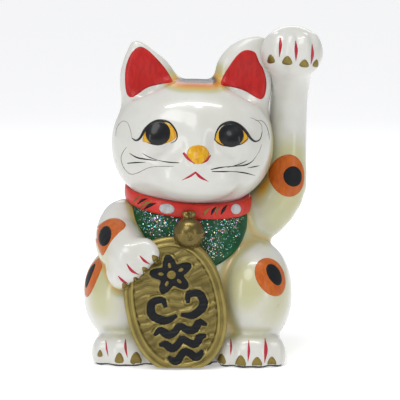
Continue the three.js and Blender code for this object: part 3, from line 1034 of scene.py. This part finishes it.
def flake_nodes():
    """Scatters hexagonal flakes of foil over a mesh and gives each its own chance colour."""
    tree = bpy.data.node_groups.new("glitter_scatter", "GeometryNodeTree")
    sockets = tree.interface
    sockets.new_socket("Geometry", in_out="INPUT", socket_type="NodeSocketGeometry")
    for name, kind in (("Density", "NodeSocketFloat"), ("Flake size", "NodeSocketFloat"), ("Seed", "NodeSocketInt"),
                       ("Foil", "NodeSocketMaterial")):
        sockets.new_socket(name, in_out="INPUT", socket_type=kind)
    sockets.new_socket("Geometry", in_out="OUTPUT", socket_type="NodeSocketGeometry")

    def node(kind, links=None, **settings):
        made_node = tree.nodes.new(kind)
        for name, value in settings.items():
            setattr(made_node, name, value)
        for name, value in (links or {}).items():
            if isinstance(value, bpy.types.NodeSocket):
                tree.links.new(value, made_node.inputs[name])
            else:
                made_node.inputs[name].default_value = value
        return made_node

    given = node("NodeGroupInput").outputs
    glitter = node("GeometryNodeInputNamedAttribute", {"Name": "glitter"}, data_type="FLOAT").outputs["Attribute"]
    density = node("ShaderNodeMath", {0: glitter, 1: given["Density"]}, operation="MULTIPLY").outputs[0]
    scatter = node("GeometryNodeDistributePointsOnFaces",
                   {"Mesh": given["Geometry"], "Density": density, "Seed": given["Seed"]})
    chance = node("FunctionNodeRandomValue", {"Seed": given["Seed"]}, data_type="FLOAT").outputs[1]
    store = node("GeometryNodeStoreNamedAttribute",
                 {"Geometry": scatter.outputs["Points"], "Name": "chance", "Value": chance},
                 data_type="FLOAT", domain="POINT")
    flake = node("GeometryNodeMeshCylinder", {"Vertices": 6, "Radius": given["Flake size"], "Depth": 0.00006})
    tip = node("FunctionNodeRandomValue", {"Min": (-0.35, -0.35, 0.0), "Max": (0.35, 0.35, 6.28), "Seed": 3},
               data_type="FLOAT_VECTOR").outputs[0]
    turned_flake = node("FunctionNodeRotateEuler", {"Rotation": scatter.outputs["Rotation"], "Rotate By": tip},
                        space="LOCAL", rotation_type="EULER")
    scale = node("FunctionNodeRandomValue", {"Min": 0.55, "Max": 1.35, "Seed": 5}, data_type="FLOAT").outputs[1]
    placed = node("GeometryNodeInstanceOnPoints",
                  {"Points": store.outputs["Geometry"], "Instance": flake.outputs["Mesh"],
                   "Rotation": turned_flake.outputs[0], "Scale": scale})
    real = node("GeometryNodeRealizeInstances", {"Geometry": placed.outputs["Instances"]})
    finished = node("GeometryNodeSetMaterial", {"Geometry": real.outputs["Geometry"], "Material": given["Foil"]})
    output = node("NodeGroupOutput")
    tree.links.new(finished.outputs["Geometry"], output.inputs["Geometry"])
    return tree


class FIGURINE_OT_bib(bpy.types.Operator):
    """Makes the lacquered bib and shakes glitter onto it"""

    bl_idname = "figurine.bib"
    bl_label = "Bib and glitter"

    def execute(self, context):
        low, high = room("bib", 5)
        points, faces = skin(bib_form, low, high, 0.9)
        piece = new_object("bib_lacquered", points, faces, "glitter_bib", "bib")
        piece.data.materials.append(lacquer())
        x, z = points[:, 0] - BIB[0], points[:, 2] - BIB[2]
        inset = edge_distance(x, z, BIB_RADII)
        outward = steepness(body_form, points)[:, 1] < -0.25
        front = body_form(points) > 1.4
        drift = 0.6 + 0.4 * np.sin(0.23 * x + 1.0) * np.cos(0.19 * z)
        tint(piece, "glitter", ramp(inset, 2.0, 6.0) * front * outward * drift)

        glitter = context.scene.figurine_glitter
        sown = bpy.data.objects.new("sown", piece.data)
        context.scene.collection.objects.link(sown)
        modifier = sown.modifiers.new("scatter", "NODES")
        tree = flake_nodes()
        modifier.node_group = tree
        values = {"Density": glitter.density, "Flake size": glitter.size, "Seed": glitter.seed, "Foil": foil()}
        for item in tree.interface.items_tree:
            if item.in_out == "INPUT" and item.name in values:
                modifier[item.identifier] = values[item.name]
        context.view_layer.update()
        evaluated = sown.evaluated_get(context.evaluated_depsgraph_get())
        mesh = bpy.data.meshes.new_from_object(evaluated)
        bpy.data.objects.remove(sown)
        mesh.name = "glitter"
        flakes = bpy.data.objects.new("glitter", mesh)
        context.scene.collection.objects.link(flakes)
        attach(flakes, "root")
        return {"FINISHED"}


BELL_RADIUS = 11.2
LUG = [(-4, 0, -1, 3.6, 3), (-1.5, 0, -0.4, 4.2, 2.6), (1, 0, 0, 4.9, 2.2), (2.4, 0, 0, 4.4, 1.8)]


class FIGURINE_OT_bell(bpy.types.Operator):
    """Makes the bell and its crown loop"""

    bl_idname = "figurine.bell"
    bl_label = "Bell"

    def execute(self, context):
        def bell_form(at):
            local = at - BELL - (0, 0.6, -0.9)
            form = ball(local, (0, 0, 0), np.full(3, BELL_RADIUS))
            pit = np.hypot(local[..., 0] - 0.8, local[..., 2] + 0.8)
            near = ramp(-local[..., 1], 6, 9)
            dimple = near * (0.9 * ramp(-pit, -3.4, -1.6) - 1.0 * ramp(-pit, -1.5, -0.4))
            seam = 0.25 * np.exp(-((local[..., 2] - 1.0) / 0.5) ** 2)
            rough = ramp(local[..., 0] - local[..., 2], 8, 13) * ramp(local[..., 1], -8, -3)
            lumps = rough * 0.8 * np.sin(1.9 * local[..., 0]) * np.sin(2.3 * local[..., 2] + 1.4 * local[..., 1])
            return form + dimple - seam - lumps

        def loop_form(at):
            local = at - LOOP - (0, -1.6, -0.6)
            lug = stack(local, LUG)
            lug = carve(lug, ball(local, (0, -2.8, 1.6), (0.9, 2, 3)), 0.5)
            return blend(lug, ball(local, (0, -1.6, -3.4), (5.6, 4.4, 1.6)), 0.8)

        for name, form, node, spare, step in (
            ("bell", bell_form, "bell_ball", 2, 0.5), ("bell_crown", loop_form, "bell_loop", 3, 0.4)
        ):
            piece = new_object(name, *skin(form, *room(node, spare), step), "gold_paint", node)
            piece.data.materials.append(made("bell_gold"))
        return {"FINISHED"}


class FIGURINE_OT_tablet(bpy.types.Operator):
    """Makes the oval tablet with its rim, hammered field and raised ornament"""

    bl_idname = "figurine.tablet"
    bl_label = "Tablet"

    def execute(self, context):
        relief_step = 0.4
        x = np.arange(-38, 38.1, relief_step)
        z = np.arange(-51.0, 51.1, relief_step)
        relief = tablet_relief(*np.meshgrid(x, z, indexing="ij"))

        def face_height(u, v):
            i = np.clip((u - x[0]) / relief_step, 0, len(x) - 1.001)
            j = np.clip((v - z[0]) / relief_step, 0, len(z) - 1.001)
            a, b = i.astype(int), j.astype(int)
            s, t = i - a, j - b
            low_side = relief[a, b] * (1 - s) + relief[a + 1, b] * s
            high_side = relief[a, b + 1] * (1 - s) + relief[a + 1, b + 1] * s
            return low_side * (1 - t) + high_side * t

        def tablet_form(at):
            u, v, w = tablet_axes(at)
            side = -tablet_inset(u, v)
            plate = trim(trim(side, w - TABLET_HALF - face_height(u, v) + 0.9, 1.6), -w - TABLET_HALF, 2.0)
            return trim(plate, FOOT - at[..., 2], 0.3)

        low, high = room("coin_tablet", 2)
        points, faces = skin(tablet_form, low, high, 0.62)
        piece = new_object("tablet", points, faces, "tablet_gold", "coin_tablet")
        piece.data.materials.append(made("tablet_gilding"))
        u, v, w = tablet_axes(points)
        low_lines = 0.5 - 0.5 * ripples(u, v)
        inset = tablet_inset(u, v)
        field = ramp(inset, RIM_WIDTH - 0.5, RIM_WIDTH + 1.0)
        groove = ramp(inset, 2.2, 3.0) * (1 - ramp(inset, 3.8, 4.6))
        edge = 1 - ramp(w, 4.0, 7.0)
        tint(piece, "recess", np.clip(field * (0.25 + 0.55 * low_lines) + 0.6 * groove + 0.5 * edge, 0, 1))

        surface = surface_of(piece)
        easel = Easel(TABLET, ACROSS, ALONG)
        marks = [(easel, outline) for outline in ornament_shapes()]
        painted("tablet_ornament", surface, marks, made("spot_black"), "tablet_gold", 0.9, 0.45)
        hearts = [(easel, oval(1.5, 21.5, 3.2, 3.0))]
        hearts += [(easel, oval(1.5 + 7.6 * math.sin(a), 21.5 + 6.8 * math.cos(a), 1.2, 2.0, -math.degrees(a)))
                   for a in np.linspace(0, 2 * math.pi, 5, endpoint=False)]
        ornament = surface_of(bpy.data.objects["tablet_ornament"], piece)
        painted("tablet_stamens", ornament, hearts, made("gilding"), "tablet_gold", 0.8, 0.3)
        return {"FINISHED"}


class FIGURINE_OT_felt(bpy.types.Operator):
    """Cuts the felt pad to the outline of the foot"""

    bl_idname = "figurine.felt"
    bl_label = "Felt pad"

    def execute(self, context):
        apron = (*(TABLET[:2] + (4, 10)), 0)

        def felt_form(at):
            level = np.concatenate([at[..., :2], np.full_like(at[..., :1], FOOT + 0.6)], -1)
            outline = blend(body_form(level) + 2.0, ball(level, apron, (22, 14, 22)), 2)
            return trim(outline, np.abs(at[..., 2] - FELT / 2) - FELT / 2, 0.25)

        low, high = room("base_pad", 2)
        points, faces = skin(felt_form, low, high, 0.6)
        points[:, 2] = np.clip(points[:, 2], 0, None)
        piece = new_object("felt_pad", points, faces, "felt", "base_pad")
        piece.data.materials.append(felt_material())
        return {"FINISHED"}


# ---- Marks on the face, as the painter sees them from in front, in millimetres from between the eyes ----------

EAR_OUTLINES = [
    [(-39.4, 60), (-33.8, 58.5), (-27.2, 52.6), (-20.8, 45.4), (-16.2, 38.3), (-14.9, 34.4), (-22.5, 33),
     (-32.7, 30.5), (-39.9, 25.7), (-44.5, 23.2), (-47.9, 25.7), (-49.3, 34.4), (-48.6, 45.7), (-45, 54.9)],
    [(40, 57.8), (45.6, 56), (48.4, 49.6), (51.8, 43.4), (53.9, 34.4), (52.9, 25.4), (50.2, 21.9), (46.1, 23.2),
     (37.9, 28), (29.7, 30.6), (21.5, 32), (21, 35.5), (24.6, 42.6), (30.8, 51.8), (35.4, 56.3)],
]
IRISES = [
    [(-36.6, -8.1), (-33.4, 0.2), (-25.6, 5.1), (-17.6, 4.2), (-12.4, -1.4), (-11.9, -5.7), (-16, -9.1),
     (-24.8, -11.5), (-32.7, -10)],
    [(16.3, -7.7), (18.8, -1.4), (24.3, 3.8), (31.5, 3.8), (37, -0.4), (40.6, -6.5), (37.8, -10.2), (28.3, -12.5),
     (19.6, -11.3)],
]
PUPILS = [(-25.2, -2.9, 9.2, 8.9), (28.1, -4.4, 9.3, 8.7)]
NOSE_OUTLINE = [(3.9, -11.5), (8.6, -12.7), (11.6, -16), (12, -19.2), (7.9, -24), (3.9, -25.6), (0.1, -23.9),
                (-3.9, -19.1), (-3.4, -15.2), (-0.6, -12.6)]
# Brush strokes: their points, their widths and how finely they are drawn.
LASHES = [
    ([(-44.3, -6.3), (-41.4, -8.2), (-38.2, -6.3), (-34.3, 0.2), (-28.7, 4.8), (-23.2, 6.2), (-17.2, 5),
      (-12.9, 0.2), (-11.2, -4.5), (-12.3, -8.3), (-16, -10.2)],
     [0.4, 1.2, 1.7, 2.1, 2.2, 2, 1.3, 1, 0.9, 0.6, 0.3], 48),
    ([(16, -8.2), (17.4, -2.1), (21.1, 3), (27.5, 5), (33.8, 3), (38.6, -1.4), (42.2, -6.5), (45.7, -8.9),
      (49.2, -7.3), (50.8, -2.1)], [0.5, 1, 1.5, 2.1, 2.2, 2.1, 1.8, 1.2, 0.6, 0.3], 44),
    ([(16, -7.6), (20.5, -11.2), (27, -12.8)], [0.5, 0.9, 0.3], 14),
    ([(-33.5, -9.6), (-29, -11), (-25, -11.7)], [0.2, 0.7, 0.3], 12),
    ([(30, -12.4), (36, -10.6), (40.4, -6.8)], [0.3, 0.7, 0.6], 14),
]
WHISKERS = [
    ([(-46.1, -17.6), (-40.6, -20.7), (-34.3, -21.9), (-26.3, -22.9)], [0.3, 1, 0.9, 0.3], 18),
    ([(-37, -17.4), (-31.9, -20.3), (-24.8, -22.8), (-17.6, -24.1), (-9.7, -24.6)], [0.2, 0.6, 0.35, 0.8, 0.5], 26),
    ([(-47.7, -24.9), (-41.4, -24.4), (-34.3, -24.2)], [0.6, 0.9, 0.2], 18),
    ([(13.3, -29.5), (18.8, -28.3), (25.1, -27.4), (31.5, -27), (38.6, -26.1), (43.4, -23.6), (46.1, -20.2)],
     [0.5, 1, 0.4, 0.6, 1, 0.5, 0.2], 32),
    ([(14, -30.9), (22, -31), (29.1, -30.9), (37.8, -31.9), (45.7, -33.8)], [0.5, 0.9, 0.4, 0.9, 0.2], 28),
    ([(25, -28), (31, -26.6), (36, -24.8), (39.8, -22.8)], [0.2, 0.6, 0.6, 0.2], 18),
    ([(40.2, -28.3), (45, -27.4), (49, -26.6)], [0.2, 0.8, 0.2], 18),
]
MOUTH = [
    ([(-6.8, -17.2), (-3.6, -20.9), (1.6, -25.4)], [1.6, 2.3, 0.4], 16),
    ([(13.2, -18.9), (10.2, -22.7), (6.3, -25.3)], [0.9, 1.7, 0.3], 16),
    ([(2.3, -31.4), (-1.8, -34.3), (-7.9, -37.3)], [1.3, 1.5, 0.2], 16),
    ([(2, -31.4), (5.7, -35), (11.6, -38.3)], [1.3, 2, 0.2], 16),
]
# Hairlines of an even width: their points and that width.
HAIRLINES = [
    ([(-56.2, -5), (-55.2, 1), (-51.7, 5.6), (-47.9, 5), (-45.6, 0.2), (-44.3, -6.3)], 0.32),
    ([(50.8, -2.1), (50.2, 3), (47, 6.4), (42, 8.5)], 0.32),
    ([(45.7, 6.2), (50.3, 6.2), (53.8, 2.6), (55.6, -3.2), (56, -7.5)], 0.4),
    ([(-48, -13), (-51, -17), (-52.2, -22), (-50.1, -28.3), (-45.4, -32.8), (-39.8, -31.8), (-33.5, -28.7),
      (-28.7, -27.5), (-19.2, -27.1), (-13.7, -27.2)], 0.4),
    ([(50.5, -10.9), (48.9, -15.6), (46, -20.6)], 0.32),
]


def hairline(points, width):
    return stroke(points, [0.2] + [width] * (len(points) - 2) + [0.2], 26)


class FIGURINE_OT_face(bpy.types.Operator):
    """Paints the eyes, nose, mouth, whiskers and ears"""

    bl_idname = "figurine.face"
    bl_label = "Face and ears"

    def execute(self, context):
        lift = context.scene.figurine_finish.paint
        surface = surface_of(bpy.data.objects["head"])
        face = front_easel(HEAD)

        def brush(name, outlines, material, gap=1.0, thickness=1.0):
            marks = [(face, outline) for outline in outlines]
            return painted(name, surface, marks, made(material), "glazed_head", gap, thickness * lift)

        brush("ear_enamel", [ring(ear, 70) for ear in EAR_OUTLINES], "red_enamel", 1.1, 2.0)
        brush("irises", [ring(iris, 44) for iris in IRISES], "yellow_enamel", 1.1)
        brush("pupils", [oval(*pupil) for pupil in PUPILS], "black_enamel", 1.0, 2.2)
        brush("lashes", [stroke(*mark) for mark in LASHES], "black_enamel", 1.0, 2.6)
        brush("cheek_hairlines", [hairline(*mark) for mark in HAIRLINES], "hairline_ink", 1.0, 0.9)
        brush("whiskers", [stroke(*mark) for mark in WHISKERS], "spot_black", 1.0, 1.0)
        brush("nose", [ring(NOSE_OUTLINE, 40)], "yellow_enamel", 1.0, 1.6)
        brush("mouth", [stroke(*mark) for mark in MOUTH], "crimson_enamel", 1.0, 1.2)
        return {"FINISHED"}


# Each paw's piece, anchor and slot, its toe lines with their widths, and its claws.
PAWS = (
    ("raised_arm_glazed", RAISED, "glazed_raised_arm",
     [([(-0.5, 71), (-0.3, 65), (-1.2, 56.5)], 2.4), ([(10.8, 68.6), (11.2, 61.5), (11, 54)], 2.5),
      ([(22.8, 66), (23.1, 58.5), (21.9, 51.4)], 2.2)],
     [(-7.2, 55.4, 5.6, 6.4, 6), (4.8, 54.4, 7.4, 6.4, -4), (17.2, 52.2, 7, 5.6, -8), (25.6, 52.2, 4.2, 5.6, -14)]),
    ("lowered_arm_glazed", LOWERED, "glazed_lowered_arm",
     [([(6, -7.2), (9.5, -11), (13.8, -13.7)], 1.9), ([(-3.5, -13), (0, -18), (5.6, -21.3)], 2.1),
      ([(-9.7, -22), (-6.6, -25.4), (-2.5, -27.6)], 1.9)],
     [(17.4, -9.5, 5.5, 6.8, 40), (10.3, -18.2, 5.5, 6.8, 40), (3.8, -25.6, 5.5, 6.8, 38),
      (-4.7, -29.5, 5.5, 6, 30)]),
    ("body", BODY, "glazed_body",
     [([(-60.2, -48.9), (-59.6, -55), (-58.4, -60.6)], 1.2), ([(-45.7, -47.9), (-45.9, -54), (-44.4, -61.5)], 1.9),
      ([(31, -47.9), (31.3, -54), (30.8, -59.5)], 1.6), ([(44, -48.9), (44.2, -57), (43.5, -64.5)], 1.9),
      ([(56, -47.4), (56.6, -56), (55.7, -65.4)], 2.7)],
     [(-64.4, -58.4, 3.8, 5), (-50.4, -61.6, 6.6, 7.6), (-38.2, -61.8, 8.4, 9), (24.2, -62.6, 6.6, 8),
      (38.2, -64, 8, 8.4), (50.2, -64.5, 7.6, 7), (61, -64, 6.6, 6.4)]),
)


class FIGURINE_OT_paws(bpy.types.Operator):
    """Paints the toe lines and gilds the claws"""

    bl_idname = "figurine.paws"
    bl_label = "Toe lines and claws"

    def execute(self, context):
        lift = context.scene.figurine_finish.paint
        for name, anchor, slot, lines, claws in PAWS:
            surface = surface_of(bpy.data.objects[name], bpy.data.objects["tablet"])
            easel = front_easel(anchor)
            marks = [(easel, stroke(line, [0.5, width, 0.3])) for line, width in lines]
            painted(name + "_toe_lines", surface, marks, made("crimson_enamel"), slot, 0.9, lift)
            marks = [(easel, claw(*each)) for each in claws]
            painted(name + "_claws", surface, marks, made("gilding"), slot, 1.0, 3 * lift)
        return {"FINISHED"}


ARM_SPOT = [(-14.5, 20), (-8.8, 19.5), (-4.7, 16.5), (-4.7, 13.3), (-8.8, 9.6), (-14.5, 3.3), (-18.5, -3.6),
            (-20.7, -7), (-22.6, -5.5), (-25.3, 1.4), (-27, 7.7), (-26, 12.7), (-20.1, 17.7)]


class FIGURINE_OT_spots(bpy.types.Operator):
    """Paints the orange spots with their black hearts"""

    bl_idname = "figurine.spots"
    bl_label = "Spots"

    def execute(self, context):
        lift = context.scene.figurine_finish.paint
        pieces = {"raised_arm_glazed": "glazed_raised_arm", "lowered_arm_glazed": "glazed_lowered_arm",
                  "body": "glazed_body"}
        surfaces = {name: surface_of(bpy.data.objects[name]) for name in pieces}

        def flat_on(name, anchor, point):
            return tangent_easel(surfaces[name], front_easel(anchor), point)

        shoulder = flat_on("raised_arm_glazed", RAISED, (6.2, -29.8))
        right_haunch = flat_on("body", BODY, (62, -2.4))
        left_haunch = flat_on("body", BODY, (-71, -2.2))
        back = Easel(BODY, -RIGHT, UP)
        spots = {
            "raised_arm_glazed": [(shoulder, oval(-0.4, 0, 13.2, 15.4), oval(2.9, -0.7, 7.3, 7.5))],
            "lowered_arm_glazed": [(front_easel(LOWERED), ring(ARM_SPOT, 46), oval(-19.2, 7, 4.6, 7.6, -12))],
            "body": [
                (right_haunch, oval(0.6, 0.4, 13.4, 14.4, 10), oval(2.2, 1.4, 6.6, 8.4, 18)),
                (left_haunch, oval(-2.5, 0, 12.5, 15.2), oval(-5, 0, 6, 9.4)),
                (back, oval(-6, 12, 25, 20, 8), oval(-6, 13, 13, 10, 8)),
            ],
        }
        for name, slot in pieces.items():
            rings = [(easel, outer) for easel, outer, _ in spots[name]]
            hearts = [(easel, heart) for easel, _, heart in spots[name]]
            painted(name + "_spots", surfaces[name], rings, made("orange_enamel"), slot, 0.95, 1.5 * lift)
            painted(name + "_hearts", surfaces[name], hearts, made("spot_black"), slot, 0.95, 3 * lift)
        return {"FINISHED"}


# Softboxes: place, width, depth and watts.
STRIPS = (
    ("top_strip", (0.02, -0.2, 1.3), 1.0, 0.14, 5.0),
    ("left_strip", (-1.0, -0.95, 0.4), 0.22, 0.9, 2.6),
    ("right_strip", (1.0, -1.0, 0.4), 0.22, 0.9, 2.0),
    ("back_box", (0.1, 1.1, 0.8), 1.0, 0.5, 2.2),
)
FLOOR_SIZE = 60


class FIGURINE_OT_stage(bpy.types.Operator):
    """Sets the pale floor, the studio light and the camera"""

    bl_idname = "figurine.stage"
    bl_label = "Stage"

    def execute(self, context):
        scene = context.scene
        bpy.ops.mesh.primitive_plane_add(size=FLOOR_SIZE, location=(0, 0, CAD_BOX[0][2]))
        floor = context.object
        floor.name = "floor"
        shade = Shade("pale_floor", Roughness=0.6, Emission_Color=(1, 1, 1, 1), Emission_Strength=0.3)
        shade.feed("Base Color", shade.mix(shade.noise(3.0) * 0.1, (0.92, 0.92, 0.92), (0.88, 0.88, 0.88)))
        floor.data.materials.append(shade.material)

        world = bpy.data.worlds.new("studio")
        world.use_nodes = True
        world.node_tree.nodes["Background"].inputs["Color"].default_value = (0.97, 0.98, 1.0, 1)
        world.node_tree.nodes["Background"].inputs["Strength"].default_value = 0.5
        scene.world = world
        sun = bpy.data.lights.new("sun", "SUN")
        sun.energy = 0.8
        sun.angle = math.radians(30)
        sun.specular_factor = 0.2
        lamps = [(sun, (-0.5, -1.0, 1.5))]
        for name, place, width, depth, power in STRIPS:
            light = bpy.data.lights.new(name, "AREA")
            light.shape = "RECTANGLE"
            light.size = width
            light.size_y = depth
            light.energy = power
            lamps.append((light, place))
        centre = Vector(FIGURE * MM)
        for light, place in lamps:
            lamp = bpy.data.objects.new(light.name, light)
            lamp.location = place
            lamp.rotation_euler = (centre - Vector(place)).to_track_quat("-Z", "Y").to_euler()
            scene.collection.objects.link(lamp)

        camera = bpy.data.cameras.new("camera")
        camera.sensor_width = SENSOR
        camera.lens = SENSOR * DISTANCE / FRAME_WIDTH
        viewer = bpy.data.objects.new("camera", camera)
        viewer.location = EYE * MM
        viewer.rotation_euler = (math.pi / 2 - ELEVATION, 0, 0)
        scene.collection.objects.link(viewer)
        scene.camera = viewer
        scene.view_settings.view_transform = "Standard"
        return {"FINISHED"}


STEPS = (
    "stage", "enamels", "body", "head", "raised_arm", "lowered_arm", "collar", "bib", "bell", "tablet", "felt",
    "face", "paws", "spots",
)


class FIGURINE_PT_panel(bpy.types.Panel):
    """Lists the steps in the sidebar"""

    bl_idname = "FIGURINE_PT_panel"
    bl_label = "Beckoning cat"
    bl_space_type = "VIEW_3D"
    bl_region_type = "UI"
    bl_category = "Figurine"

    def draw(self, context):
        for group in (context.scene.figurine_finish, context.scene.figurine_glitter):
            for name in group.__annotations__:
                self.layout.prop(group, name)
        for step in STEPS:
            self.layout.operator("figurine." + step)


CLASSES = (
    FinishSettings, GlitterSettings, FIGURINE_OT_stage, FIGURINE_OT_enamels, FIGURINE_OT_body, FIGURINE_OT_head,
    FIGURINE_OT_raised_arm, FIGURINE_OT_lowered_arm, FIGURINE_OT_collar, FIGURINE_OT_bib, FIGURINE_OT_bell,
    FIGURINE_OT_tablet, FIGURINE_OT_felt, FIGURINE_OT_face, FIGURINE_OT_paws, FIGURINE_OT_spots, FIGURINE_PT_panel,
)


def register():
    for each in CLASSES:
        bpy.utils.register_class(each)
    bpy.types.Scene.figurine_finish = bpy.props.PointerProperty(type=FinishSettings)
    bpy.types.Scene.figurine_glitter = bpy.props.PointerProperty(type=GlitterSettings)


def unregister():
    del bpy.types.Scene.figurine_glitter
    del bpy.types.Scene.figurine_finish
    for each in reversed(CLASSES):
        bpy.utils.unregister_class(each)


def main():
    register()
    for step in STEPS:
        getattr(bpy.ops.figurine, step)()


if __name__ == "__main__":
    main()
